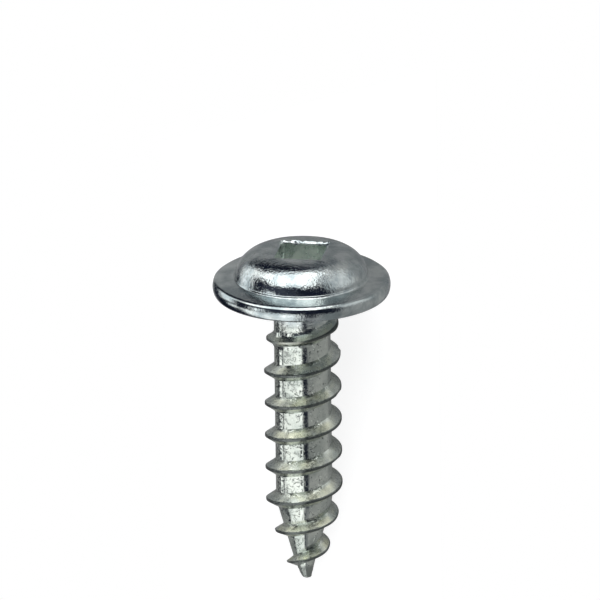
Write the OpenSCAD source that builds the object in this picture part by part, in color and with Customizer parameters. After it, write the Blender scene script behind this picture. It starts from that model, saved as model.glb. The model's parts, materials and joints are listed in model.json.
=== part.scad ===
// Washer-head sheet metal screw with a square drive recess, a coarse spaced
// thread and a gimlet point. It is modelled lying down, as it comes to rest
// on a table: the washer's rim and one thread crest touch z = 0, the head
// points to +Y and the point to -Y.

/* [Head] */
// Diameter over the washer's bulged rim
washer_d = 11.0; // [9.5:0.1:13]
// Thickness of the washer at its rim
rim_t = 0.92; // [0.7:0.02:1.2]
// How far the rolled rim bulges out past its two edges
rim_bulge = 0.12; // [0.1:0.02:0.3]
// Fall of the washer's top face from the dome to the rim, in degrees
washer_fall = 6; // [4:1:16]
// Diameter of the dome where it stands on the washer
dome_d = 8.32; // [7.2:0.02:9]
// Height of the head from its bearing face to its flat crown
head_h = 2.7; // [2.3:0.05:3.4]
// Radius that rounds the dome into its crown
dome_r = 1.75; // [1:0.05:1.85]
// Fillet between the dome and the washer
foot_r = 0.14; // [0.1:0.02:0.3]

/* [Drive recess] */
// Width across the flats at the mouth
recess_w = 2.9; // [2.5:0.02:3.2]
// Depth of the four flat walls
recess_depth = 1.95; // [1.5:0.05:2.2]
// Depth of the shallow cone in the floor of the recess
recess_cone = 0.25; // [0.1:0.05:0.3]
// Slope of each wall, in degrees
recess_taper = 1.5; // [0.5:0.25:3]
// Radius of the recess corners
recess_corner = 0.2; // [0.15:0.05:0.5]
// Width of the broken edge round the mouth
recess_break = 0.07; // [0.02:0.01:0.15]
// Turn of the recess about the screw's axis, in degrees
recess_turn = -10; // [-45:1:45]

/* [Shank] */
// Length from the bearing face to the tip
length = 19.0; // [16:0.25:26]
// Diameter of the shank between the threads
root_d = 3.5; // [3.2:0.05:3.8]
// How much thicker the plain neck is than the root
neck_step = 0.06; // [0.04:0.02:0.12]
// Length of straight neck below its fillet
neck_l = 0.05; // [0.02:0.01:0.1]
// Play between the thread's crests and the start of the flat bearing face
relief_gap = 0.03; // [0.02:0.01:0.1]

/* [Thread] */
// Diameter over the thread's crests
major_d = 4.8; // [4.4:0.05:5]
// Distance from one crest to the next
pitch = 2.117; // [1.8:0.01:2.4]
// Angle between each flank and a plane across the screw, in degrees
flank = 34; // [25:1:38]
// Width of the flat on the crest
crest_w = 0.2; // [0.06:0.02:0.24]
// Fillet between the flank and the root
root_fillet = 0.14; // [0.06:0.02:0.16]
// Distance from the bearing face to the first trace of thread
thread_gap = 1.02; // [0.8:0.02:1.4]
// Part of a turn over which the thread rises to its full height
run_in = 0.8; // [0.2:0.05:1]
// Turn of the thread's start about the screw's axis, in degrees
thread_turn = 170; // [0:10:350]

/* [Point] */
// Length of the cone that ends in the tip
point_l = 5.3; // [4:0.1:6.5]
// Radius of the blunt end of that cone
tip_r = 0.32; // [0.2:0.02:0.45]
// Radius of the small dome on the tip
tip_dome = 0.6; // [0.55:0.05:1]
// Distance from the tip to the last trace of thread
tip_gap = 0.4; // [0.3:0.05:0.7]
// Length over which the thread fades out towards the tip
tip_fade = 1.4; // [1:0.1:2]

/* [Hidden] */
$fn = 96;

// Head
rim_r = washer_d / 2;
edge_r = rim_r - rim_bulge;
bulge_r = (pow(rim_t / 2, 2) + pow(rim_bulge, 2)) / (2 * rim_bulge);
bulge_c = [rim_r - bulge_r, rim_t / 2];
foot_z = rim_t + (edge_r - dome_d / 2) * tan(washer_fall);
crown_c = [dome_d / 2 - dome_r, head_h - dome_r];

// Shank and point
root_r = root_d / 2;
crest_r = major_d / 2;
thread_h = crest_r - root_r;
neck_r = (root_d + neck_step) / 2;
neck_fillet = crest_r + relief_gap - neck_r;
cone_h = length - point_l;
cone_slope = (root_r - tip_r) / point_l;

// Thread. h is the distance below the bearing face, and turn counts from the
// first trace of thread. Past both ends of the thread its helix is squeezed,
// so that the skin closes inside the head and at the tip.
steps = 36;
inside = 0.6 * (head_h - recess_depth - recess_cone);
squeeze_top = 0.6;
squeeze_tip = 0.8;
last_turn = ceil((length + pitch - thread_gap) / pitch * steps) / steps;
top_scale = squeeze_top + inside;
function squeezed(h) =
    h < squeeze_top ? top_scale * exp((h - squeeze_top) / top_scale) - inside :
    h > length - squeeze_tip ? length - squeeze_tip * exp((length - squeeze_tip - h) / squeeze_tip) : h;
function dome_at(h) = let(x = h - length + tip_dome)
    x < 0 ? root_r : sqrt(pow(tip_dome, 2) - pow(x, 2));
function root_at(h) = min(root_r - max(0, h - cone_h) * cone_slope, dome_at(h));
function rise_at(turn) = turn < 0 ? 0 : sin(90 * min(1, turn / run_in));
function fade_at(h) = sqrt(min(1, max(0, length - tip_gap - h) / tip_fade));
function full_at(turn) = rise_at(turn) * fade_at(squeezed(thread_gap + pitch * turn));

// One pitch of the thread's outline, as [distance past the crest's middle,
// height above the root]: the root, the fillets, the flanks and the crest
foot = crest_w / 2 + (thread_h - root_fillet) * tan(flank);
outline = [[-foot - root_fillet, 0], [-foot, root_fillet], [-crest_w / 2, thread_h],
    [crest_w / 2, thread_h], [foot, root_fillet], [foot + root_fillet, 0]];
least_w = 0.3;
function skin_point(turn, at, high) = let(
    h = squeezed(thread_gap + pitch * turn + at),
    r = root_at(h) + high,
    a = thread_turn - 360 * turn)
    [r * cos(a), r * sin(a), -h];
function mid_root(turn) = skin_point(turn, -pitch / 2, 0);
function skin_column(turn) = let(full = full_at(turn))
    concat([mid_root(turn)], [for (p = outline)
        skin_point(turn, p[0] * max(least_w, full), p[1] * full)]);

// Rest: a crest under the screw at distance h and radius r meets the table
// together with the rim when the axis is tilted by tilt_for(h, r)
function tilt_for(h, r) = let(a = bulge_c[0] - r, b = h + bulge_c[1])
    atan2(a, b) + asin(bulge_r / norm([a, b]));
first_low = ((thread_turn - 90) % 360) / 360;
low_crests = [for (t = [first_low : 1 : last_turn - 1])
    let(h = squeezed(thread_gap + pitch * t)) tilt_for(h, root_at(h) + thread_h * full_at(t))];
rest_tilt = min(concat(low_crests, [tilt_for(length - tip_dome, tip_r)]));
rest_z = bulge_c[0] * cos(rest_tilt) - bulge_c[1] * sin(rest_tilt) + bulge_r;
front_y = crown_c[1] * cos(rest_tilt) + crown_c[0] * sin(rest_tilt) + dome_r;
back_y = (length - tip_dome) * cos(rest_tilt) + tip_dome;
rest_y = (back_y - front_y) / 2;

// Half sections of what is turned: the washer, the dome and the neck
module washer_section() {
    intersection() {
        union() {
            translate([0, -rim_t]) square([bulge_c[0], 3 * rim_t + head_h]);
            translate(bulge_c) circle(bulge_r);
        }
        polygon([[0, 0], [rim_r + 1, 0],
            [rim_r + 1, rim_t - (rim_bulge + 1) * tan(washer_fall)],
            [0, rim_t + edge_r * tan(washer_fall)]]);
    }
}

module dome_section() {
    square([crown_c[0], head_h]);
    square([dome_d / 2, crown_c[1]]);
    intersection() {
        translate(crown_c) circle(dome_r);
        square([dome_d, head_h + 1]);
    }
    difference() {
        square([dome_d / 2 + foot_r, foot_z + foot_r]);
        translate([dome_d / 2 + foot_r, foot_z + foot_r]) circle(foot_r);
    }
}

module neck_section() {
    difference() {
        translate([0, -neck_fillet]) square([neck_r + neck_fillet, neck_fillet + rim_t / 2]);
        translate([neck_r + neck_fillet, -neck_fillet]) circle(neck_fillet);
    }
    translate([0, -neck_fillet - neck_l]) square([neck_r, neck_fillet + neck_l]);
}

module turned_head() {
    rotate_extrude() washer_section();
    rotate_extrude() dome_section();
    rotate_extrude() neck_section();
}

// One pair of sloping walls; two pairs crossed make the square recess
module recess_walls() {
    lift = 0.5;
    top_w = recess_w + 2 * lift * tan(recess_taper);
    low_w = recess_w - 2 * recess_depth * tan(recess_taper);
    rotate([90, 0, 0]) linear_extrude(2 * recess_w, center = true)
        polygon([[-low_w / 2, -recess_depth], [low_w / 2, -recess_depth],
            [top_w / 2, lift], [-top_w / 2, lift]]);
}

// Four round corners and two crossed blocks between them
module rounded_well() {
    inner = recess_w - 2 * recess_corner;
    across = recess_w + 0.2;
    tall = 2 * recess_depth + 1;
    cube([across, inner, tall], center = true);
    cube([inner, across, tall], center = true);
    for (x = [-inner / 2, inner / 2], y = [-inner / 2, inner / 2])
        translate([x, y, 0]) cylinder(h = tall, r = recess_corner, center = true);
}

module broken_edge() {
    mouth = recess_w + 2 * recess_break;
    rotate([90, 0, 0]) linear_extrude(mouth, center = true)
        polygon([[-recess_w / 2 + recess_break, -2 * recess_break],
            [recess_w / 2 - recess_break, -2 * recess_break],
            [mouth / 2 + recess_break, recess_break],
            [-mouth / 2 - recess_break, recess_break]]);
}

module drive_recess() {
    translate([0, 0, head_h]) rotate([0, 0, recess_turn]) {
        intersection() {
            recess_walls();
            rotate([0, 0, 90]) recess_walls();
            rounded_well();
        }
        intersection() {
            broken_edge();
            rotate([0, 0, 90]) broken_edge();
        }
        translate([0, 0, -recess_depth - recess_cone])
            cylinder(h = recess_cone + 0.01, r1 = 0.05, r2 = recess_w / 2 - recess_corner);
    }
}

// The shank from inside the head to the tip as one closed helical skin. Each
// column of points runs down one pitch, and its last point meets the first
// point of the column one turn on.
module threaded_shank() {
    first = -steps;
    last = round(last_turn * steps);
    rows = len(outline) + 1;
    count = last - first + 1;
    columns = [for (i = [first : last]) skin_column(i / steps)];
    trailing = [for (i = [last + 1 : last + steps]) mid_root(i / steps)];
    top = count * rows + steps;
    function at(i, j) = j == rows ? at(i + steps, 0) :
        i <= last ? (i - first) * rows + j : count * rows + i - last - 1;
    polyhedron(
        points = concat([for (c = columns) each c], trailing, [[0, 0, inside], [0, 0, -length]]),
        faces = concat(
            [for (i = [first : last - 1], j = [0 : rows - 1]) each [
                [at(i, j), at(i + 1, j + 1), at(i + 1, j)],
                [at(i, j), at(i, j + 1), at(i + 1, j + 1)]]],
            [for (i = [0 : steps - 1]) each [
                [top, at(first + i, 0), at(first + i + 1, 0)],
                [top + 1, at(last + i + 1, 0), at(last + i, 0)]]],
            [for (j = [0 : rows - 1]) each [
                [top, at(first, j + 1), at(first, j)],
                [top + 1, at(last, j), at(last, j + 1)]]]));
}

// The screw with its axis on Z, its bearing face at z = 0 and its tip below
module upright_screw() {
    difference() {
        rotate([0, 0, 180 / steps]) turned_head();
        drive_recess();
    }
    threaded_shank();
}

module screw() {
    color("slategray")
        translate([0, rest_y, rest_z]) rotate([rest_tilt - 90, 0, 0])
            upright_screw();
}

screw();
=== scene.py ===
"""Washer-head sheet metal screw in bright zinc plate, lying on a white card.

The head is turned as a grid of rings that runs from the middle of the drive recess, over the
dome and the washer, to the neck. The threaded shank is a grid that Geometry Nodes wind into one
helical skin. Both are then joined into the one piece that the real screw is.
"""
import json
import math
from functools import partial

import bmesh
import bpy
from mathutils import Euler, Matrix, Vector, noise


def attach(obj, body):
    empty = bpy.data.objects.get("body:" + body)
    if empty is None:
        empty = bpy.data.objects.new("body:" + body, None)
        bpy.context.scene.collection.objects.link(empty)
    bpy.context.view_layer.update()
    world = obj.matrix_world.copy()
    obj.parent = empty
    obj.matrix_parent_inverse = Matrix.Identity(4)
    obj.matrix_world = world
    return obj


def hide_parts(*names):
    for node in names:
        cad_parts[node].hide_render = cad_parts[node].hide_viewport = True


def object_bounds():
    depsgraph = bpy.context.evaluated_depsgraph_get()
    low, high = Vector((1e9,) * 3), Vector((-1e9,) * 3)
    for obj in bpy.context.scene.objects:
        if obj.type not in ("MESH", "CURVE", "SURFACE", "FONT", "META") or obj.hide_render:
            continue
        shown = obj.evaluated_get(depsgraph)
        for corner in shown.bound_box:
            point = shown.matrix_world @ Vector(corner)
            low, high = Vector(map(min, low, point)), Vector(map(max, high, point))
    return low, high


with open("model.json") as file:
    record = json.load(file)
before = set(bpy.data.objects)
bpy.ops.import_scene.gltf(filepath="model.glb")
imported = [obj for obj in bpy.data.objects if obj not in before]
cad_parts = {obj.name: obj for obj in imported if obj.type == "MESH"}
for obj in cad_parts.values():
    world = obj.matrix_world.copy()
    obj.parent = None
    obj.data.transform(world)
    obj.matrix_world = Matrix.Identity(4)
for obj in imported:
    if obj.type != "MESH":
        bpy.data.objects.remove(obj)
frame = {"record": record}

bl_info = {
    "name": "Sheet Metal Screw",
    "version": (1, 0, 0),
    "blender": (4, 5, 0),
    "location": "3D View > Sidebar > Screw",
    "description": "Builds a zinc-plated washer-head screw and the card that it lies on",
    "category": "Add Mesh",
}

MM = 0.001
RAMP = "ShaderNodeMapRange"
MIX = "ShaderNodeMix"
# Rows of the thread's grid, counted from the middle of the crest: the crest's edge, the foot of
# the flank, and the middle of the root
CREST_ROW, FOOT_ROW, LAST_ROW = 2.0, 9.0, 14.0
MOUNTS = {m["name"]: m for m in frame["record"]["mounts"]}
BEARING = MOUNTS["bearing_face"]
CAD_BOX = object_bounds()


def from_bearing(mount):
    """Distance of a mount from the bearing face, to a hundredth of a millimetre."""
    return round((Vector(MOUNTS[mount]["pos_m"]) - Vector(BEARING["pos_m"])).length, 5)


# The driving sizes come from the frame: the washer is the widest part, the drive's mount sits on
# the crown, and the thread's mount sits halfway down the shank
WASHER_D = round(CAD_BOX[1][0] - CAD_BOX[0][0], 4)
HEAD_H = from_bearing("drive_socket")
SCREW_L = 2 * from_bearing("thread")


def linear(hex_colour):
    """Turns an sRGB hex colour into the linear colour that nodes take."""
    parts = [int(hex_colour[i:i + 2], 16) / 255 for i in (0, 2, 4)]
    return tuple(c / 12.92 if c <= 0.04045 else ((c + 0.055) / 1.055) ** 2.4 for c in parts)


def rest_matrix():
    """Takes the screw's own axes, with its axis on Z and its bearing face at 0, to how it lies."""
    towards_head = -Vector(BEARING["axis"])
    lean = math.atan2(towards_head.z, towards_head.y)
    turned = Euler((lean - math.pi / 2, 0, 0)).to_matrix().to_4x4()
    return Matrix.Translation(Vector(BEARING["pos_m"])) @ turned


class HeadSizes(bpy.types.PropertyGroup):
    """Sizes of the cold-headed part: washer, dome and drive recess"""
    washer_d: bpy.props.FloatProperty(
        name="Washer diameter", description="Over the bulged rim", default=WASHER_D, unit="LENGTH")
    rim_t: bpy.props.FloatProperty(
        name="Rim thickness", description="Height of the washer's rim", default=0.92 * MM, unit="LENGTH")
    rim_bulge: bpy.props.FloatProperty(
        name="Rim bulge", description="How far the rim stands out past its edges",
        default=0.12 * MM, unit="LENGTH")
    washer_fall: bpy.props.FloatProperty(
        name="Washer fall", description="Slope of the washer's top face",
        default=math.radians(6), unit="ROTATION")
    dome_d: bpy.props.FloatProperty(
        name="Dome diameter", description="Where the dome stands on the washer",
        default=8.32 * MM, unit="LENGTH")
    head_h: bpy.props.FloatProperty(
        name="Head height", description="From the bearing face to the crown", default=HEAD_H,
        unit="LENGTH")
    dome_r: bpy.props.FloatProperty(
        name="Dome radius", description="Rounds the dome into its crown", default=1.75 * MM, unit="LENGTH")
    foot_r: bpy.props.FloatProperty(
        name="Foot fillet", description="Between the dome and the washer", default=0.14 * MM, unit="LENGTH")
    recess_w: bpy.props.FloatProperty(
        name="Recess width", description="Across the flats at the mouth", default=2.9 * MM, unit="LENGTH")
    recess_depth: bpy.props.FloatProperty(
        name="Recess depth", description="Depth of the flat walls", default=1.95 * MM, unit="LENGTH")
    recess_cone: bpy.props.FloatProperty(
        name="Recess floor cone", description="Depth of the cone in the floor",
        default=0.25 * MM, unit="LENGTH")
    recess_taper: bpy.props.FloatProperty(
        name="Recess taper", description="Slope of each wall", default=math.radians(1.5), unit="ROTATION")
    recess_turn: bpy.props.FloatProperty(
        name="Recess turn", description="Turn of the recess about the axis",
        default=math.radians(-10), unit="ROTATION")


class ShankSizes(bpy.types.PropertyGroup):
    """Sizes of the neck, the rolled thread and the point"""
    length: bpy.props.FloatProperty(
        name="Length", description="From the bearing face to the tip", default=SCREW_L, unit="LENGTH")
    root_d: bpy.props.FloatProperty(
        name="Root diameter", description="Between the threads", default=3.5 * MM, unit="LENGTH")
    neck_d: bpy.props.FloatProperty(
        name="Neck diameter", description="Plain neck under the head", default=3.56 * MM, unit="LENGTH")
    major_d: bpy.props.FloatProperty(
        name="Thread diameter", description="Over the crests", default=4.8 * MM, unit="LENGTH")
    pitch: bpy.props.FloatProperty(
        name="Pitch", description="From crest to crest", default=2.117 * MM, unit="LENGTH")
    flank: bpy.props.FloatProperty(
        name="Flank angle", description="Between a flank and a plane across the screw",
        default=math.radians(36), unit="ROTATION")
    crest_w: bpy.props.FloatProperty(
        name="Crest width", description="Width of the crest", default=0.12 * MM, unit="LENGTH")
    thread_gap: bpy.props.FloatProperty(
        name="Thread gap", description="From the bearing face to the first trace of thread",
        default=1.02 * MM, unit="LENGTH")
    run_in: bpy.props.FloatProperty(
        name="Run-in", description="Turns over which the thread rises", default=0.8)
    thread_turn: bpy.props.FloatProperty(
        name="Thread turn", description="Where the thread starts",
        default=math.radians(170), unit="ROTATION")
    point_l: bpy.props.FloatProperty(
        name="Point length", description="Length of the cone at the tip", default=5.3 * MM, unit="LENGTH")
    tip_r: bpy.props.FloatProperty(
        name="Tip radius", description="Blunt end of the cone", default=0.32 * MM, unit="LENGTH")
    tip_dome: bpy.props.FloatProperty(
        name="Tip dome", description="Radius of the dome on the tip", default=0.6 * MM, unit="LENGTH")
    tip_gap: bpy.props.FloatProperty(
        name="Tip gap", description="From the tip to the last trace of thread",
        default=0.4 * MM, unit="LENGTH")
    tip_fade: bpy.props.FloatProperty(
        name="Tip fade", description="Length over which the thread fades", default=1.1 * MM, unit="LENGTH")


class ZincFinish(bpy.types.PropertyGroup):
    """Colours and roughness of the plate"""
    bright: bpy.props.FloatVectorProperty(
        name="Bright zinc", description="Freshly plated, smooth", subtype="COLOR", default=linear("c5cccb"))
    grey: bpy.props.FloatVectorProperty(
        name="Grey zinc", description="Thicker, slightly dull plate", subtype="COLOR",
        default=linear("939ea1"))
    passivate: bpy.props.FloatVectorProperty(
        name="Passivate tint", description="Faint yellow-green of the passivate film",
        subtype="COLOR", default=linear("dcdfca"))
    # Partly wear and partly painted shade: rubbed steel on the rim and the tip, and on the crests also the
    # painted dark line of shade along each crest
    worn_and_shaded: bpy.props.FloatVectorProperty(
        name="Worn and shaded crest", description="Bare, darker steel where the crests are rubbed", subtype="COLOR",
        default=linear("626765"))
    # Partly real and partly painted shade: specks left in the pits, crowded down the shank's left edge as
    # painted shade there
    residue_and_edge_shade: bpy.props.FloatVectorProperty(
        name="Residue", description="Dark specks left in the pits of the rolled faces", subtype="COLOR",
        default=linear("4a4f50"))
    # Partly real film and partly painted light: this near-white colour, lighter than the rest of the plate,
    # stands in for the light that bounces about inside the recess
    recess: bpy.props.FloatVectorProperty(
        name="Recess film", description="Greenish film in the recess, where the bath clings",
        subtype="COLOR", default=linear("e6ede6"))
    roughness: bpy.props.FloatProperty(
        name="Roughness", description="Of the smooth plate", default=0.16, min=0, max=1,
        subtype="FACTOR")


class StageSettings(bpy.types.PropertyGroup):
    """The card, the room and the camera"""
    card: bpy.props.FloatVectorProperty(
        name="Card colour", description="Plain card under the screw", subtype="COLOR",
        default=linear("b0b0b0"))
    room: bpy.props.FloatVectorProperty(
        name="Room tint", description="Blue of the dark room between the walls", subtype="COLOR",
        default=linear("7f92c8"))
    lens: bpy.props.FloatProperty(
        name="Lens", description="Focal length in millimetres", default=900.0, unit="CAMERA")
    scale: bpy.props.FloatProperty(
        name="Scale", description="Pixels for each millimetre at the head", default=16.2)
    elevation: bpy.props.FloatProperty(
        name="Elevation", description="Of the view over a plane across the screw",
        default=math.radians(20.8), unit="ROTATION")
    roll: bpy.props.FloatProperty(
        name="Roll", description="Lean of the screw in the picture",
        default=math.radians(-0.75), unit="ROTATION")


def add(tree, kind, *inputs, **settings):
    """Adds one node, with its settings and links.

    Inputs are values, sockets or nodes, in the order of the node's own inputs, and None leaves
    one as it is. A kind in capitals is an operation of the Math node.
    """
    if kind.isupper():
        settings["operation"] = kind
        kind = "ShaderNodeMath"
    node = tree.nodes.new(kind)
    for name, value in settings.items():
        setattr(node, name, value)
    sockets = [s for s in node.inputs if s.enabled]
    for socket, value in zip(sockets, inputs):
        if isinstance(value, bpy.types.Node):
            value = next(s for s in value.outputs if s.enabled)
        if isinstance(value, bpy.types.NodeSocket):
            tree.links.new(value, socket)
        elif value is not None:
            socket.default_value = value
    return node


def arc(cx, cz, r, start, end, count):
    """Points on an arc from one angle to another, in degrees, as (radius, height)."""
    angles = [math.radians(start + (end - start) * i / count) for i in range(count + 1)]
    return [(cx + r * math.cos(a), cz + r * math.sin(a)) for a in angles]


def line(a, b, count):
    """Points between two corners, without the corners themselves."""
    return [(a[0] + (b[0] - a[0]) * i / count, a[1] + (b[1] - a[1]) * i / count) for i in range(1, count)]


def head_section(h, s):
    """The turned outline of the head, from the flat crown round to the end of the neck."""
    # The rim: a shallow bulge between two softened edges
    rim_r = h.washer_d / 2
    edge_r = rim_r - h.rim_bulge
    bulge_r = ((h.rim_t / 2) ** 2 + h.rim_bulge ** 2) / (2 * h.rim_bulge)
    bulge_c = (rim_r - bulge_r, h.rim_t / 2)
    soft = 0.1 * MM
    end = math.degrees(math.asin((h.rim_t / 2 - soft) / bulge_r))

    # The dome: an almost flat crown that meets the round shoulder at 80 degrees. Nearer the middle
    # than 87 degrees the recess takes the crown away
    dome_edge = h.dome_d / 2
    crown_r, crown_deg, meet_deg = 5.0 * MM, 87, 80
    meet = math.radians(meet_deg)
    shoulder_x = dome_edge - h.dome_r * (1 - math.cos(meet))
    flat_r = shoulder_x - crown_r * math.cos(meet)
    shoulder_z = h.head_h - crown_r * (1 - math.sin(meet))
    dome_c = (dome_edge - h.dome_r, shoulder_z - h.dome_r * math.sin(meet))

    # The sloping top of the washer, with a fillet at the dome's foot
    fall = math.tan(h.washer_fall)
    foot_z = h.rim_t + (edge_r - dome_edge) * fall
    foot_c = (dome_edge + h.foot_r, foot_z + h.foot_r)
    fall_deg = math.degrees(h.washer_fall)
    washer_in = (foot_c[0] - h.foot_r * math.sin(h.washer_fall),
                 foot_c[1] - h.foot_r * math.cos(h.washer_fall))
    washer_out = (edge_r - soft, h.rim_t + soft * fall)

    # The neck's fillet runs out to just past the crests of the thread
    neck_r = s.neck_d / 2
    fillet = s.major_d / 2 + 0.03 * MM - neck_r

    rows = arc(flat_r, h.head_h - crown_r, crown_r, crown_deg, meet_deg, 7)
    rows += arc(*dome_c, h.dome_r, meet_deg - 2, 0, 38)
    rows = [p for p in rows if p[1] > foot_c[1]]
    rows += arc(*foot_c, h.foot_r, 180, 270 - fall_deg, 8)
    rows += line(washer_in, washer_out, 10)
    rows += [washer_out]
    rows += arc(*bulge_c, bulge_r, end, -end, 28)
    low_r, low_z = rows[-1]
    rows += [(low_r - 0.4 * soft, 0.3 * low_z), (low_r - soft, 0)]
    rows += line((low_r - soft, 0), (neck_r + fillet, 0), 12)
    rows += arc(neck_r + fillet, -fillet, fillet, 90, 180, 12)
    rows += [(neck_r, -fillet - 0.05 * MM)]
    return rows


def square_radius(angle, half, corner):
    """Distance from the middle to the edge of a square with rounded corners."""
    x, y = abs(math.cos(angle)), abs(math.sin(angle))
    x, y = max(x, y), min(x, y)
    flat = half / x
    if flat * y <= half - corner:
        return flat
    c = half - corner
    along = (x + y) * c
    return along + math.sqrt(max(0, along * along - 2 * c * c + corner * corner))


def recess_rows(h):
    """Rings of the recess from its floor up to the crown: half width and height."""
    taper = math.tan(h.recess_taper)
    floor_z = h.head_h - h.recess_depth
    low = h.recess_w / 2 - h.recess_depth * taper
    floor_r = 0.1 * MM
    rows = [(low + x - floor_r, z + floor_z + floor_r) for x, z in arc(0, 0, floor_r, -90, 0, 4)]
    top = (h.recess_w / 2, h.head_h - 0.1 * MM)
    return rows + line((low, floor_z + floor_r), top, 15)


def burr(h, angle):
    """How far the punch has raised the lip of the recess, about 0 to 1: most along one edge."""
    along = math.cos(angle - h.recess_turn - math.radians(90))
    side = max(0.0, min(1.0, (along - 0.45) / 0.3))
    ragged = 0.5 + 1.3 * noise.noise(Vector((math.cos(angle) * 6, math.sin(angle) * 6, 0.3)))
    fine = 0.5 * noise.noise(Vector((math.cos(angle) * 23, math.sin(angle) * 23, 1.7)))
    corner = math.exp(-((angle - h.recess_turn - math.radians(44)) / math.radians(5)) ** 2)
    return side * max(0.0, ragged + fine) + 0.12 * (1 - side) * max(0.0, 0.5 + fine) + 0.8 * corner


def head_rings(h, s, count):
    """Every ring of the head as a list of points, from the recess floor to the neck."""
    rings = []
    corner = 0.16 * MM
    floor_z = h.head_h - h.recess_depth
    walls = recess_rows(h)
    angles = [2 * math.pi * i / count for i in range(count)]
    floor_rings = 6
    for i in range(1, floor_rings + 1):
        r = walls[0][0] * 0.94 * i / floor_rings
        z = floor_z - h.recess_cone * (1 - i / floor_rings)
        rings.append([(a, r, z) for a in angles])
    for half, z in walls:
        rings.append([(a, square_radius(a - h.recess_turn, half, corner), z) for a in angles])
    half = h.recess_w / 2
    # The broken edge, out and up to the crown, in millimetres: how far out of the wall each ring
    # lies, its height over the crown, and how much of the lip that the punch raised it carries
    lip = ((0.0, -0.10, -1.2), (0.012, -0.075, -0.8), (0.03, -0.05, -0.4), (0.055, -0.025, 0.2),
           (0.085, -0.006, 0.9), (0.12, 0.0, 0.8), (0.16, 0.0, 0.4), (0.22, 0.0, 0.1))
    lip_h = 0.075
    for out, z, raised in lip:
        ring = []
        for a in angles:
            rise = burr(h, a)
            wide = out * (1 + 0.5 * rise)
            r = square_radius(a - h.recess_turn, half + wide * MM, corner + wide * MM)
            ring.append((a, r, h.head_h + (z * (0.5 + 0.5 * rise) + lip_h * raised * rise) * MM))
        rings.append(ring)
    section = head_section(h, s)
    last = rings[-1]
    crown_x, crown_z = section[0]
    for t in (0.3, 0.6):
        ring = []
        for a, r, z in last:
            out = max(crown_x, r + 0.05 * MM)
            ring.append((a, r + (out - r) * t, z + (crown_z - z) * t))
        rings.append(ring)
    for i, (x, z) in enumerate(section):
        # Near the recess the round rings give way to its corners
        spare = 0.05 * MM * (i + 1)
        rings.append([(a, max(x, r + spare) if i < 6 else x, z) for a, r, _ in last])
    return rings


def wrinkle(p, size, height, seed):
    """A smooth random height at a point of the surface."""
    return noise.noise(p / size + Vector((seed, 3.1 * seed, -seed))) * height


def grid_object(name, rings, pole, cap):
    """A closed skin from rings of points, with a pole at the first ring and one at the last."""
    bm = bmesh.new()
    rows = [[bm.verts.new(p) for p in ring] for ring in rings]
    count = len(rows[0])
    for low, high in zip(rows, rows[1:]):
        for i in range(count):
            j = (i + 1) % count
            bm.faces.new((low[i], low[j], high[j], high[i]))
    first, last = bm.verts.new(pole), bm.verts.new(cap)
    for i in range(count):
        j = (i + 1) % count
        bm.faces.new((first, rows[0][j], rows[0][i]))
        bm.faces.new((last, rows[-1][i], rows[-1][j]))
    bmesh.ops.recalc_face_normals(bm, faces=bm.faces)
    mesh = bpy.data.meshes.new(name)
    bm.to_mesh(mesh)
    bm.free()
    obj = bpy.data.objects.new(name, mesh)
    bpy.context.scene.collection.objects.link(obj)
    return obj


def make_head(h, s):
    """The cold-headed part of the screw, upright, with the slight unevenness of a struck face."""
    # Two sizes of unevenness, each with its width, its height and its seed
    wide, fine = (1.6 * MM, 0.012 * MM, 5), (0.45 * MM, 0.003 * MM, 9)
    rings = []
    for ring in head_rings(h, s, count=264):
        points = []
        for a, r, z in ring:
            p = Vector((r * math.cos(a), r * math.sin(a), z))
            out = Vector((p.x, p.y, 0)).normalized() * 0.6 + Vector((0, 0, 0.8))
            if z > 0.02 * MM:
                p += out * (wrinkle(p, *wide) + wrinkle(p, *fine))
            points.append(p)
        rings.append(points)
    floor_z = h.head_h - h.recess_depth - h.recess_cone
    return grid_object("screw_head", rings, (0, 0, floor_z), (0, 0, rings[-1][0].z))


def give_mesh(obj, modifier):
    """Makes a modifier's result the object's own mesh, and drops the mesh it had."""
    old = obj.data
    depsgraph = bpy.context.evaluated_depsgraph_get()
    mesh = bpy.data.meshes.new_from_object(obj.evaluated_get(depsgraph))
    obj.modifiers.remove(modifier)
    obj.data = mesh
    bpy.data.meshes.remove(old)


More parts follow.
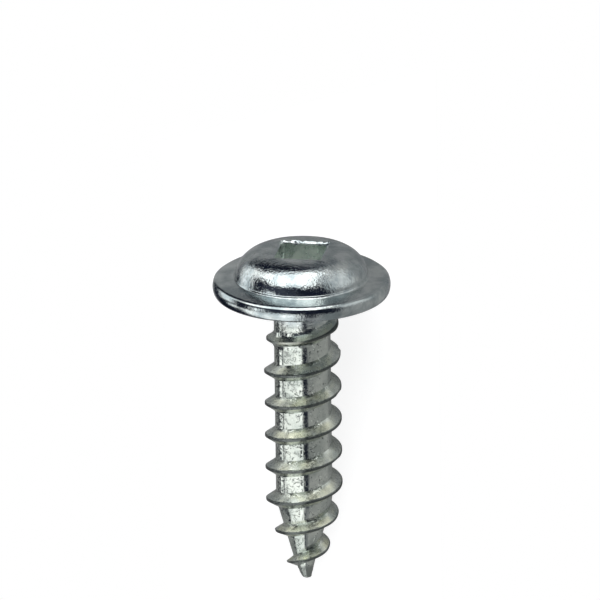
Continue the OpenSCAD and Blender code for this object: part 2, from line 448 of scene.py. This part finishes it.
def thread_tree():
    """Geometry Nodes that wind a flat grid into the threaded shank.

    Across the grid runs one pitch of the thread's outline, along it run the turns.
    """
    tree = bpy.data.node_groups.new("Threaded shank", "GeometryNodeTree")
    face = tree.interface
    sizes = {}
    for key in ("length", "root_d", "neck_d", "major_d", "pitch", "crest_w", "thread_gap",
                "point_l", "tip_r", "tip_dome", "tip_gap", "tip_fade"):
        sizes[key] = face.new_socket(key, in_out="INPUT", socket_type="NodeSocketFloat")
    for key in ("flank", "thread_turn", "run_in", "inside", "squeeze_top", "squeeze_tip", "turns"):
        sizes[key] = face.new_socket(key, in_out="INPUT", socket_type="NodeSocketFloat")
    for key in ("steps", "rows"):
        sizes[key] = face.new_socket(key, in_out="INPUT", socket_type="NodeSocketInt")
    sizes["finish"] = face.new_socket("finish", in_out="INPUT", socket_type="NodeSocketMaterial")
    face.new_socket("Geometry", in_out="OUTPUT", socket_type="NodeSocketGeometry")
    node = partial(add, tree)
    size = tree.nodes.new("NodeGroupInput").outputs

    def squeezed(h):
        """Past both ends of the thread the helix is squeezed, so that the skin can close."""
        top_scale = node("ADD", size["squeeze_top"], size["inside"])
        rise = node("DIVIDE", node("SUBTRACT", h, size["squeeze_top"]), top_scale)
        near_head = node("SUBTRACT", node("MULTIPLY", top_scale, node("EXPONENT", rise)), size["inside"])
        limit = node("SUBTRACT", size["length"], size["squeeze_tip"])
        fall = node("DIVIDE", node("SUBTRACT", limit, h), size["squeeze_tip"])
        from_tip = node("MULTIPLY", size["squeeze_tip"], node("EXPONENT", fall))
        near_tip = node("SUBTRACT", size["length"], from_tip)
        at_head = node("LESS_THAN", h, size["squeeze_top"])
        at_tip = node("GREATER_THAN", h, limit)
        picked = node("GeometryNodeSwitch", at_tip, h, near_tip, input_type="FLOAT")
        return node("GeometryNodeSwitch", at_head, picked, near_head, input_type="FLOAT")

    def root_at(h):
        """Radius between the threads: neck, root, cone and the small dome of the tip."""
        root = node("MULTIPLY", size["root_d"], 0.5)
        slope = node("DIVIDE", node("SUBTRACT", root, size["tip_r"]), size["point_l"])
        cone_h = node("SUBTRACT", size["length"], size["point_l"])
        past = node("SMOOTH_MAX", node("SUBTRACT", h, cone_h), 0.0, 0.5 * MM)
        cone = node("SUBTRACT", root, node("MULTIPLY", past, slope))
        centre = node("SUBTRACT", size["length"], size["tip_dome"])
        x = node("MAXIMUM", node("SUBTRACT", h, centre), 0.0)
        inner = node("SUBTRACT", node("POWER", size["tip_dome"], 2.0), node("POWER", x, 2.0))
        dome = node("SQRT", node("MAXIMUM", inner, 0.0))
        before = node("LESS_THAN", h, centre)
        dome_limit = node("GeometryNodeSwitch", before, dome, root, input_type="FLOAT")
        near_neck = node("SUBTRACT", 1.0, node("DIVIDE", h, size["thread_gap"]), use_clamp=True)
        step = node("SUBTRACT", node("MULTIPLY", size["neck_d"], 0.49), node("MULTIPLY", root, 0.98))
        swell = node("MULTIPLY", step, near_neck)
        return node("ADD", node("MINIMUM", cone, dome_limit), swell)

    # One row and one column more than there are steps, so that the skin overlaps itself and merges
    columns = node("ADD", node("MULTIPLY", size["steps"], size["turns"]), 1.0)
    grid = node("GeometryNodeMeshGrid", 1.0, 1.0, node("ADD", size["rows"], 1.0), columns)
    place = node("ShaderNodeSeparateXYZ", node("GeometryNodeInputPosition"))
    across, along = place.outputs["X"], place.outputs["Y"]
    turn = node("SUBTRACT", node("MULTIPLY", node("ADD", along, 0.5), size["turns"]), 1.0)

    crest_v = node("ADD", size["thread_gap"], node("MULTIPLY", size["pitch"], turn))
    crest_h = squeezed(crest_v)

    # The thread rises out of the neck and fades out towards the tip
    started = node("DIVIDE", turn, size["run_in"], use_clamp=True)
    rise = node("SINE", node("MULTIPLY", started, math.pi / 2))
    left = node("SUBTRACT", node("SUBTRACT", size["length"], size["tip_gap"]), crest_h)
    fade = node("SQRT", node("DIVIDE", left, size["tip_fade"], use_clamp=True))
    full = node("MULTIPLY", rise, fade)

    # Across the grid: half the crest, then the flank, then half the root. Where the ridge is low
    # it is narrow too, down to 0.3 of its full width
    high = node("MULTIPLY", node("SUBTRACT", size["major_d"], size["root_d"]), 0.5)
    width = node("MAXIMUM", full, 0.3)
    edge = node("MULTIPLY", width, node("MULTIPLY", size["crest_w"], 0.5))
    reach = node("MULTIPLY", width, node("MULTIPLY", high, node("TANGENT", size["flank"])))
    # On the cone the ridge is narrower, so that its upper flank stays as steep as it is above
    cone_h = node("SUBTRACT", size["length"], size["point_l"])
    on_cone = node(RAMP, node("SUBTRACT", crest_h, cone_h), 0.0, 1.0 * MM, 1.0, 0.8)
    reach = node("MULTIPLY", reach, on_cone)
    rest = node("SUBTRACT", node("MULTIPLY", size["pitch"], 0.5), node("ADD", edge, reach))
    wide = node("MULTIPLY", across, 2.0)
    row = node("MULTIPLY", node("ABSOLUTE", wide), LAST_ROW)
    offset = node(RAMP, row, 0.0, CREST_ROW, 0.0, edge)
    offset = node("ADD", offset, node(RAMP, row, CREST_ROW, FOOT_ROW, 0.0, reach))
    offset = node("ADD", offset, node(RAMP, row, FOOT_ROW, LAST_ROW, 0.0, rest))
    h = squeezed(node("ADD", crest_v, node("MULTIPLY", node("SIGN", wide), offset)))
    down = node(RAMP, row, CREST_ROW, FOOT_ROW, 1.0, 0.0)
    ridge = node("MULTIPLY", node("MULTIPLY", high, down), full)

    radius = node("ADD", root_at(h), ridge)
    angle = node("SUBTRACT", size["thread_turn"], node("MULTIPLY", turn, 2 * math.pi))
    wound = node("ShaderNodeCombineXYZ", node("MULTIPLY", radius, node("COSINE", angle)),
                 node("MULTIPLY", radius, node("SINE", angle)), node("MULTIPLY", h, -1.0))
    skin = node("GeometryNodeSetPosition", grid, None, wound)
    merged = node("GeometryNodeMergeByDistance", skin, None, 0.0005 * MM)
    real = node("GeometryNodeRealizeInstances", merged)
    done = node("GeometryNodeSetMaterial", real, None, size["finish"])
    node("NodeGroupOutput", done)
    return tree, sizes


def make_shank(s, finish):
    """The threaded shank, wound by Geometry Nodes and closed at both ends."""
    tree, sizes = thread_tree()
    obj = bpy.data.objects.new("screw_shank", bpy.data.meshes.new("screw_shank"))
    bpy.context.scene.collection.objects.link(obj)
    modifier = obj.modifiers.new("Thread", "NODES")
    modifier.node_group = tree
    # Steps in each turn, and turns enough for the skin to run past both ends
    steps = 120
    turns = math.ceil((s.length + s.pitch - s.thread_gap) / s.pitch * steps) / steps + 1
    values = {key: getattr(s, key) for key in sizes if hasattr(s, key)}
    values |= {"inside": 0.3 * MM, "squeeze_top": 0.6 * MM, "squeeze_tip": 0.8 * MM,
               "turns": turns, "steps": steps, "rows": int(2 * LAST_ROW), "finish": finish}
    for key, value in values.items():
        modifier[sizes[key].identifier] = value
    give_mesh(obj, modifier)
    close_ends(obj, s)
    wear(obj, s)
    return obj


def wear(obj, s):
    """Marks that the rolling left: nicks in the crest, a thin start, and a pinched, bent tip."""
    # Turn of the thread at which each mark sits, its depth in millimetres and its half length in
    # turns. The first is the thin start
    marks = ((0.82, 0.24, 0.27), (1.43, 0.06, 0.018), (1.50, 0.035, 0.05), (2.53, 0.05, 0.03),
             (3.36, 0.10, 0.018), (4.56, 0.04, 0.03), (6.62, 0.02, 0.03), (7.6, 0.05, 0.03))
    rubbed, flaked, pinch, bend = 0.03 * MM, 0.06 * MM, 0.09 * MM, 0.08 * MM
    ridge_l, tip_l = 0.3 * MM, 1.5 * MM
    start_turn = s.thread_turn / (2 * math.pi)
    for v in obj.data.vertices:
        p = v.co
        h = -p.z
        r = math.hypot(p.x, p.y)
        # The two ends of the skin lie on the axis and stay there
        if r < 1e-7:
            continue
        nearest = (h - s.thread_gap) / s.pitch
        turn = start_turn - math.atan2(p.y, p.x) / (2 * math.pi)
        turn += round(nearest - turn)
        above = max(0.0, min(1.0, (r - s.root_d / 2) / ridge_l))
        cut = 0.0
        for at, depth, half in marks:
            t = abs(turn - at) / half
            if t < 1:
                cut = max(cut, depth * MM * (1 - t * t) * above)
        cut += above * rubbed * (0.5 + 0.5 * noise.noise(Vector((turn * 2.3, 4.2, 0.7))))
        tip = max(0.0, h - s.length + tip_l) / tip_l
        if tip > 0:
            rough = noise.noise(p / (0.35 * MM)) * 0.5 + noise.noise(p / (0.16 * MM)) * 0.3
            cut += max(0.0, 0.4 + rough) * flaked * min(1.0, tip * 2) * min(1.0, r / ridge_l)
            # The left side of the tip is pinched off
            cut += max(0.0, -p.x / r) * pinch * tip ** 4 * (1 - above)
        p.x *= 1 - cut / r
        p.y *= 1 - cut / r
        p.x += bend * tip * tip


def close_ends(obj, s):
    """Fans each open end of the helical skin to a point on the axis."""
    bm = bmesh.new()
    bm.from_mesh(obj.data)
    edges = [e for e in bm.edges if e.is_boundary]
    for at_head in (True, False):
        loop = [e for e in edges if (e.verts[0].co.z > -s.length / 2) == at_head]
        end_z = max(v.co.z for e in loop for v in e.verts) if at_head else -s.length
        middle = bm.verts.new((0, 0, end_z))
        for e in loop:
            bm.faces.new((e.verts[0], e.verts[1], middle))
    bmesh.ops.recalc_face_normals(bm, faces=bm.faces)
    bm.to_mesh(obj.data)
    bm.free()


def join_solids(keep, other):
    """Unites two closed solids into one mesh and returns the object that holds it."""
    modifier = keep.modifiers.new("Join", "BOOLEAN")
    modifier.object = other
    modifier.operation = "UNION"
    modifier.solver = "MANIFOLD"
    give_mesh(keep, modifier)
    if not keep.data.polygons:
        raise RuntimeError("The head and the shank are not closed, so they don't join")
    bpy.data.meshes.remove(other.data)
    return keep


def zinc_plate(f, h, s):
    """Bright zinc plate on cold-headed and rolled steel.

    It gives the eye a clear blue-white metal shine, broken up by the fine grain of the struck and
    rolled faces, with a yellowish film on the flanks and a dull, greenish one in the recess. The
    recess film's light colour is painted light for the light that bounces inside the recess, and the
    darker crests and the specks crowded down the left edge are partly painted shade.
    """
    mat = bpy.data.materials.new("Bright zinc plate on rolled steel")
    mat.use_nodes = True
    tree = mat.node_tree
    node = partial(add, tree)
    shader = tree.nodes["Principled BSDF"].inputs
    shader["Metallic"].default_value = 1.0

    # Widths of what shows in the plate, at their real size
    cloud = 1.4 * MM
    film_patch = 1.1 * MM
    rubbed_spot = 0.8 * MM
    clinging_patch = 0.9 * MM
    rolled_scale = 0.4 * MM
    # A pixel of the picture is 0.06 mm wide, so these are too fine to show and are drawn two or
    # three pixels wide
    grain = 0.11 * MM  # really about 0.01 mm
    speck = 0.14 * MM  # really about 0.05 mm
    dull_spot = 0.2 * MM  # really about 0.05 mm
    streak = 0.14 * MM  # really about 0.03 mm
    turned_mark = 0.17 * MM  # really about 0.08 mm

    # The screw's own axes again: Z along its axis, 0 at the bearing face
    coords = tree.nodes.new("ShaderNodeTexCoord").outputs["Object"]
    lying = rest_matrix()
    own = node("ShaderNodeMapping", coords, tuple(lying.translation), tuple(lying.to_euler()),
               vector_type="TEXTURE")
    place = node("ShaderNodeSeparateXYZ", own).outputs
    across, height = place["X"], place["Z"]
    around = node("ShaderNodeVectorMath", own, (1, 1, 0), operation="MULTIPLY")
    radius = node("ShaderNodeVectorMath", around, operation="LENGTH")

    def speckle(size, detail=2.0, stretch=(1, 1, 1), distortion=0.0):
        """Noise whose largest grains have the given size."""
        stretched = node("ShaderNodeVectorMath", own, stretch, operation="MULTIPLY")
        return node("ShaderNodeTexNoise", stretched, 1 / size, detail, 0.55, 2.0, distortion)

    # Parts of the head, each 1 inside and 0 outside, with a soft edge
    on_head = node(RAMP, height, -0.1 * MM, 0.1 * MM)
    in_mouth = node("LESS_THAN", radius, h.recess_w / math.sqrt(2) + 0.25 * MM)
    below_crown = node(RAMP, height, h.head_h - 0.06 * MM, h.head_h - 0.12 * MM)
    in_recess = node("MULTIPLY", node("MULTIPLY", in_mouth, below_crown), on_head)
    rim_r = h.washer_d / 2
    rubbed = node(RAMP, speckle(rubbed_spot, 3.0), 0.5, 0.7, 0.0, 0.25)
    on_rim = node("MULTIPLY", node(RAMP, radius, rim_r - 0.2 * MM, rim_r - 0.1 * MM), rubbed)

    # Parts of the shank. The ridge keeps its height down the cone, so they follow the cone's slope
    on_shank = node("SUBTRACT", 1.0, on_head)
    start = -s.thread_gap
    root_r, top_r = s.root_d / 2, s.major_d / 2
    slope = (root_r - s.tip_r) / s.point_l
    past_shank = node("MAXIMUM", node("SUBTRACT", s.point_l - s.length, height), 0.0)
    ridge_r = node("MULTIPLY_ADD", past_shank, slope, radius)
    on_neck = node("MULTIPLY", on_shank, node(RAMP, height, start - 1.38 * MM, start - 0.78 * MM))
    above_root = node(RAMP, ridge_r, root_r + 0.05 * MM, root_r + 0.25 * MM)
    below_crest = node(RAMP, ridge_r, top_r - 0.07 * MM, top_r - 0.12 * MM)
    on_flank = node("MULTIPLY", above_root, below_crest)
    on_thread = node("MULTIPLY", on_flank, node(RAMP, height, start - 0.18 * MM, start - 0.58 * MM))
    off_thread = node("SUBTRACT", 1.0, on_thread)
    on_root = node("MULTIPLY", off_thread, node(RAMP, height, start - 0.48 * MM, start - 0.98 * MM))
    # The first turn is thin and low, and its crest takes the crests' darker colour too: partly rubbed wear
    # and partly painted shade
    low_start = node(RAMP, height, start - 2.58 * MM, start - 2.18 * MM, 0.0, 0.18 * MM)
    crest_r = node("ADD", ridge_r, low_start)
    near_top = node(RAMP, crest_r, top_r - 0.09 * MM, top_r - 0.05 * MM)
    on_crest = node("MULTIPLY", near_top, node(RAMP, height, start + 0.22 * MM, start - 0.18 * MM))
    on_tip = node(RAMP, height, 1.1 * MM - s.length, 0.8 * MM - s.length)

    # The rolling left scars in two bands down the front of the shank, more of them on the left
    left_edge = node(RAMP, across, -1.15 * MM, -0.95 * MM)
    on_left = node("MULTIPLY", left_edge, node(RAMP, across, -0.1 * MM, -0.35 * MM))
    right_edge = node(RAMP, across, 0.4 * MM, 0.55 * MM, 0.0, 0.6)
    on_right = node("MULTIPLY", right_edge, node(RAMP, across, 1.2 * MM, 1.0 * MM))
    at_front = node("LESS_THAN", place["Y"], 0.0)
    scarred = node("MULTIPLY", node("ADD", on_left, on_right), at_front)

    # Colour: cloudy plate, a yellowish film on the flanks, a greenish one in the recess whose lightness
    # is painted bounce light, crests darkened partly by rubbing and partly as painted shade, and specks
    # that crowd down the left edge as painted shade
    clouds = node(RAMP, speckle(cloud, 4.0), 0.38, 0.62)
    colour = node(MIX, clouds, (*f.grey, 1), (*f.bright, 1), data_type="RGBA")
    patches = node(RAMP, speckle(film_patch, 2.0, (1, 1, 0.6)), 0.35, 0.6, 0.3, 1.0)
    sides = node(RAMP, node("ABSOLUTE", across), 2.0 * MM, 1.5 * MM, 0.3, 1.0)
    film = node("MULTIPLY", node("MULTIPLY", on_thread, patches), sides)
    film = node("MULTIPLY_ADD", on_root, 0.3, film)
    # Painted light: the patchy recess film's near-white colour lifts the whole recess for the light that
    # bounces inside it
    clinging = node(RAMP, speckle(clinging_patch, 3.0, (1, 1, 0.7)), 0.38, 0.62, 0.3, 1.0)
    in_recess = node("MULTIPLY", in_recess, clinging)
    # Painted shade: towards the root's left edge the specks crowd closer, darkening that edge
    left_edge_shade = node("MULTIPLY", on_root, node(RAMP, across, -1.2 * MM, -1.35 * MM, 0.0, 0.16))
    dots = node(RAMP, node("ADD", speckle(speck), left_edge_shade), 0.66, 0.69)
    specks = node("MULTIPLY", dots, on_root)
    tip_wear = node("MULTIPLY", on_tip, 0.6)
    tints = ((film, f.passivate), (in_recess, f.recess), (on_crest, f.worn_and_shaded), (on_rim, f.worn_and_shaded),
             (tip_wear, f.worn_and_shaded), (specks, f.residue_and_edge_shade))
    for amount, tint in tints:
        colour = node(MIX, amount, colour, (*tint, 1), data_type="RGBA")
    tree.links.new(colour.outputs["Result"], shader["Base Color"])

    # Roughness: the plate's own, with dull spots, smoother on the head, and matt in the recess
    dull = node(RAMP, speckle(dull_spot, 3.0), 0.4, 0.7, f.roughness - 0.04, f.roughness + 0.12)
    for part, more in ((on_head, -0.05), (on_neck, 0.08), (in_recess, 0.27), (on_crest, 0.15),
                       (on_thread, 0.11), (on_tip, 0.2)):
        dull = node("MULTIPLY_ADD", part, more, dull)
    tree.links.new(dull.outputs[0], shader["Roughness"])

    # Relief: grain all over, drawn streaks down the dome, turned marks round the neck, and small
    # rolled scales between the threads, each with its depth
    grain_depth = node("MULTIPLY_ADD", on_head, 0.006 * MM, 0.0015 * MM)
    grains = node(RAMP, speckle(grain, 3.0), 0.2, 0.8, 0.0, grain_depth)
    dome_edge = h.dome_d / 2
    streak_depth = node(RAMP, radius, dome_edge + 0.14 * MM, dome_edge - 0.06 * MM, 0.0, 0.01 * MM)
    streaks = node(RAMP, speckle(streak, 2.0, (1, 1, 0.14)), 0.3, 0.7, 0.0, streak_depth)
    mark_depth = node("MULTIPLY_ADD", on_neck, 0.01 * MM, 0.001 * MM)
    marks = node(RAMP, speckle(turned_mark, 2.0, (0.25, 0.25, 1)), 0.3, 0.7, 0.0, mark_depth)
    scale_depth = node("MULTIPLY_ADD", scarred, 0.026 * MM, 0.001 * MM)
    scales = node(RAMP, speckle(rolled_scale, 1.5, (1, 1, 1), 1.2), 0.55, 0.6, 0.0, scale_depth)
    relief = node("MULTIPLY_ADD", streaks, on_head, grains)
    relief = node("MULTIPLY_ADD", marks, on_shank, relief)
    relief = node("MULTIPLY_ADD", scales, on_root, relief)
    bump = node("ShaderNodeBump")
    bump.inputs["Strength"].default_value = 1.0
    bump.inputs["Distance"].default_value = 1.0
    tree.links.new(relief.outputs[0], bump.inputs["Height"])
    tree.links.new(bump.outputs["Normal"], shader["Normal"])
    return mat


class SCREW_OT_make_screw(bpy.types.Operator):
    """Make the screw, with its head, thread and point, as one closed piece"""
    bl_idname = "screw.make_screw"
    bl_label = "Make screw"

    def execute(self, context):
        scene = context.scene
        head_sizes, shank_sizes = scene.head_sizes, scene.shank_sizes
        finish = zinc_plate(scene.zinc_finish, head_sizes, shank_sizes)
        head = make_head(head_sizes, shank_sizes)
        shank = make_shank(shank_sizes, finish)
        screw = join_solids(head, shank)
        screw.name = "zinc_plated_screw"
        screw.data.name = "zinc_plated_screw"
        screw.data.transform(rest_matrix())
        screw.data.materials.clear()
        screw.data.materials.append(finish)
        for polygon in screw.data.polygons:
            polygon.use_smooth = True
            polygon.material_index = 0
        screw.data.set_sharp_from_angle(angle=math.radians(35))
        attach(screw, "root")
        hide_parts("screw")
        return {"FINISHED"}


def white_card(colour):
    """Plain white card: the camera sees it white, and it keeps the screw's soft shadow."""
    mat = bpy.data.materials.new("White card")
    mat.use_nodes = True
    tree = mat.node_tree
    node = partial(add, tree)
    shader = tree.nodes["Principled BSDF"].inputs
    shader["Base Color"].default_value = (*colour, 1)
    shader["Roughness"].default_value = 0.9
    shader["Specular IOR Level"].default_value = 0.0
    shader["Emission Color"].default_value = (1, 1, 1, 1)
    # The plate mirrors only a trace of the card, as it does of the room between the walls
    light = tree.nodes.new("ShaderNodeLightPath").outputs
    seen = node("MULTIPLY", light["Is Camera Ray"], 0.8)
    glow = node("MULTIPLY_ADD", light["Is Glossy Ray"], 0.04, seen)
    tree.links.new(glow.outputs[0], shader["Emission Strength"])
    return mat


def studio_world(stage):
    """A soft studio round the screw, which only the screw sees. The camera sees plain white.

    Bright walls stand past the head, past the point and on the left, grey ones on the right, and
    the room between them is dark. The plate mirrors them as its bright and dark bands.
    """
    world = bpy.data.worlds.new("Studio")
    world.use_nodes = True
    tree = world.node_tree
    node = partial(add, tree)
    coords = tree.nodes.new("ShaderNodeTexCoord").outputs["Generated"]
    towards = node("ShaderNodeSeparateXYZ", coords).outputs

    def wall(**edges):
        """A soft-edged part of the surroundings: 1 where each direction is past its edges."""
        result = None
        for axis, pairs in edges.items():
            for out, inside in pairs:
                edge = node(RAMP, towards[axis], out, inside, interpolation_type="SMOOTHSTEP")
                result = edge if result is None else node("MULTIPLY", result, edge)
        return result

    # Each wall's brightness and soft edges, along X to the right, Y past the head and Z up
    walls = (
        # Past the head, from the left to the middle
        (2.4, wall(Y=((0.38, 0.46),), X=((0.40, 0.26), (-0.80, -0.70)), Z=((-0.04, 0.02),))),
        # Past the point, on the left: a near and a far part
        (1.5, wall(Y=((-0.31, -0.35), (-0.66, -0.62)), X=((-0.02, -0.07),), Z=((-0.04, 0.0),))),
        (1.6, wall(Y=((-0.58, -0.64),), X=((0.0, -0.08), (-0.88, -0.7)), Z=((-0.1, 0.0),))),
        # On the left: a low strip, the low wall over it, a window higher up, and a faint ceiling
        (1.9, wall(Y=((-0.22, -0.26), (-0.38, -0.34)), X=((-0.80, -0.85),),
                   Z=((-0.42, -0.37), (-0.11, -0.15)))),
        (1.8, wall(Y=((-0.16, -0.04),), X=((-0.55, -0.68),), Z=((-0.62, -0.54), (-0.08, -0.16)))),
        (2.4, wall(Y=((-0.28, -0.20), (0.02, -0.06)), X=((-0.70, -0.78),),
                   Z=((0.38, 0.44), (0.64, 0.58)))),
        (0.1, wall(Y=((-0.30, -0.20), (0.4, 0.3)), X=((0.0, -0.3),), Z=((0.3, 0.5),))),
        # On the right, all grey: past the point, beside the shank, and past the head
        (0.38, wall(Y=((-0.38, -0.46),), X=((0.26, 0.34),))),
        (0.38, wall(Y=((-0.46, -0.38),), X=((0.40, 0.50),), Z=((0.68, 0.58),))),
        (0.3, wall(Y=((-0.72, -0.80),), X=((0.04, 0.12), (0.38, 0.30)))),
        (0.62, wall(Y=((0.0, 0.2),), X=((0.42, 0.56),), Z=((0.76, 0.68), (-0.22, -0.08)))),
        (0.4, wall(Y=((0.3, 0.5),), X=((0.06, 0.22), (0.50, 0.38)), Z=((0.35, 0.15),))),
    )
    dark, grey = 0.05, 0.4
    total = dark
    for strength, part in walls:
        total = node("MULTIPLY_ADD", part, strength, total)
    light = tree.nodes.new("ShaderNodeLightPath").outputs
    seen = node(MIX, light["Is Camera Ray"], total, 1.0, data_type="FLOAT")
    # The walls are white, and the dark between them has a little blue in it
    lit = node(RAMP, seen, dark, grey)
    colour = node(MIX, lit, (*stage.room, 1), (1, 1, 1, 1), data_type="RGBA")
    back = tree.nodes["Background"].inputs
    tree.links.new(colour.outputs["Result"], back["Color"])
    tree.links.new(seen.outputs[0], back["Strength"])
    return world


def view_camera(stage):
    """The photograph's camera: a long lens that looks down on the lying screw from its head's side."""
    lying = rest_matrix().to_3x3()
    axis, away = lying.col[2], lying.col[1]
    towards = (math.sin(stage.elevation) * axis - math.cos(stage.elevation) * away).normalized()
    data = bpy.data.cameras.new("Camera")
    sensor, picture = 36.0, 600
    data.lens = stage.lens
    data.sensor_width = sensor
    camera = bpy.data.objects.new("Camera", data)
    bpy.context.scene.collection.objects.link(camera)
    # The picture's middle falls this far below the bearing face and to the left of the axis, and
    # the picture is 600 pixels wide
    aim = rest_matrix() @ Vector((-0.109 * MM, 0, -0.57 * MM))
    distance = stage.lens / sensor * picture / stage.scale * MM
    up = (axis - axis.dot(towards) * towards).normalized()
    turned = Matrix.Rotation(stage.roll, 3, towards)
    up, side = turned @ up, turned @ up.cross(towards)
    basis = Matrix((side, up, towards)).transposed().to_4x4()
    camera.matrix_world = Matrix.Translation(aim + towards * distance) @ basis
    bpy.context.scene.camera = camera


class SCREW_OT_set_stage(bpy.types.Operator):
    """Set the white card, the soft studio and the camera"""
    bl_idname = "screw.set_stage"
    bl_label = "Set stage"

    def execute(self, context):
        scene = context.scene
        stage = scene.stage_settings
        view_camera(stage)
        bpy.ops.mesh.primitive_plane_add(size=42 * MM)
        card = context.active_object
        card.name = "card"
        # The card is narrow, and its far edge lies askew, close behind the head
        askew = Matrix(((0.4, 0, 0, 0), (0.1, 0.94, 0, -1.2 * MM), (0, 0, 1, 0), (0, 0, 0, 1)))
        card.data.transform(askew)
        card.data.materials.append(white_card(stage.card))
        scene.world = studio_world(stage)
        scene.view_settings.view_transform = "Standard"
        return {"FINISHED"}


class SCREW_PT_panel(bpy.types.Panel):
    bl_idname = "SCREW_PT_panel"
    bl_label = "Sheet metal screw"
    bl_space_type = "VIEW_3D"
    bl_region_type = "UI"
    bl_category = "Screw"

    def draw(self, context):
        for key in ("head_sizes", "shank_sizes", "zinc_finish", "stage_settings"):
            group = getattr(context.scene, key)
            box = self.layout.box()
            for name in group.bl_rna.properties.keys():
                if name not in ("rna_type", "name"):
                    box.prop(group, name)
        self.layout.operator("screw.make_screw")
        self.layout.operator("screw.set_stage")


GROUPS = {"head_sizes": HeadSizes, "shank_sizes": ShankSizes, "zinc_finish": ZincFinish,
          "stage_settings": StageSettings}
CLASSES = (*GROUPS.values(), SCREW_OT_make_screw, SCREW_OT_set_stage, SCREW_PT_panel)


def register():
    """Registers the classes and hangs the settings on the scene."""
    for cls in CLASSES:
        bpy.utils.register_class(cls)
    for key, cls in GROUPS.items():
        setattr(bpy.types.Scene, key, bpy.props.PointerProperty(type=cls))


def unregister():
    """Takes away what register added."""
    for key in GROUPS:
        delattr(bpy.types.Scene, key)
    for cls in reversed(CLASSES):
        bpy.utils.unregister_class(cls)


def main():
    """Builds the stage and the screw."""
    register()
    bpy.ops.screw.set_stage()
    bpy.ops.screw.make_screw()


if __name__ == "__main__":
    main()
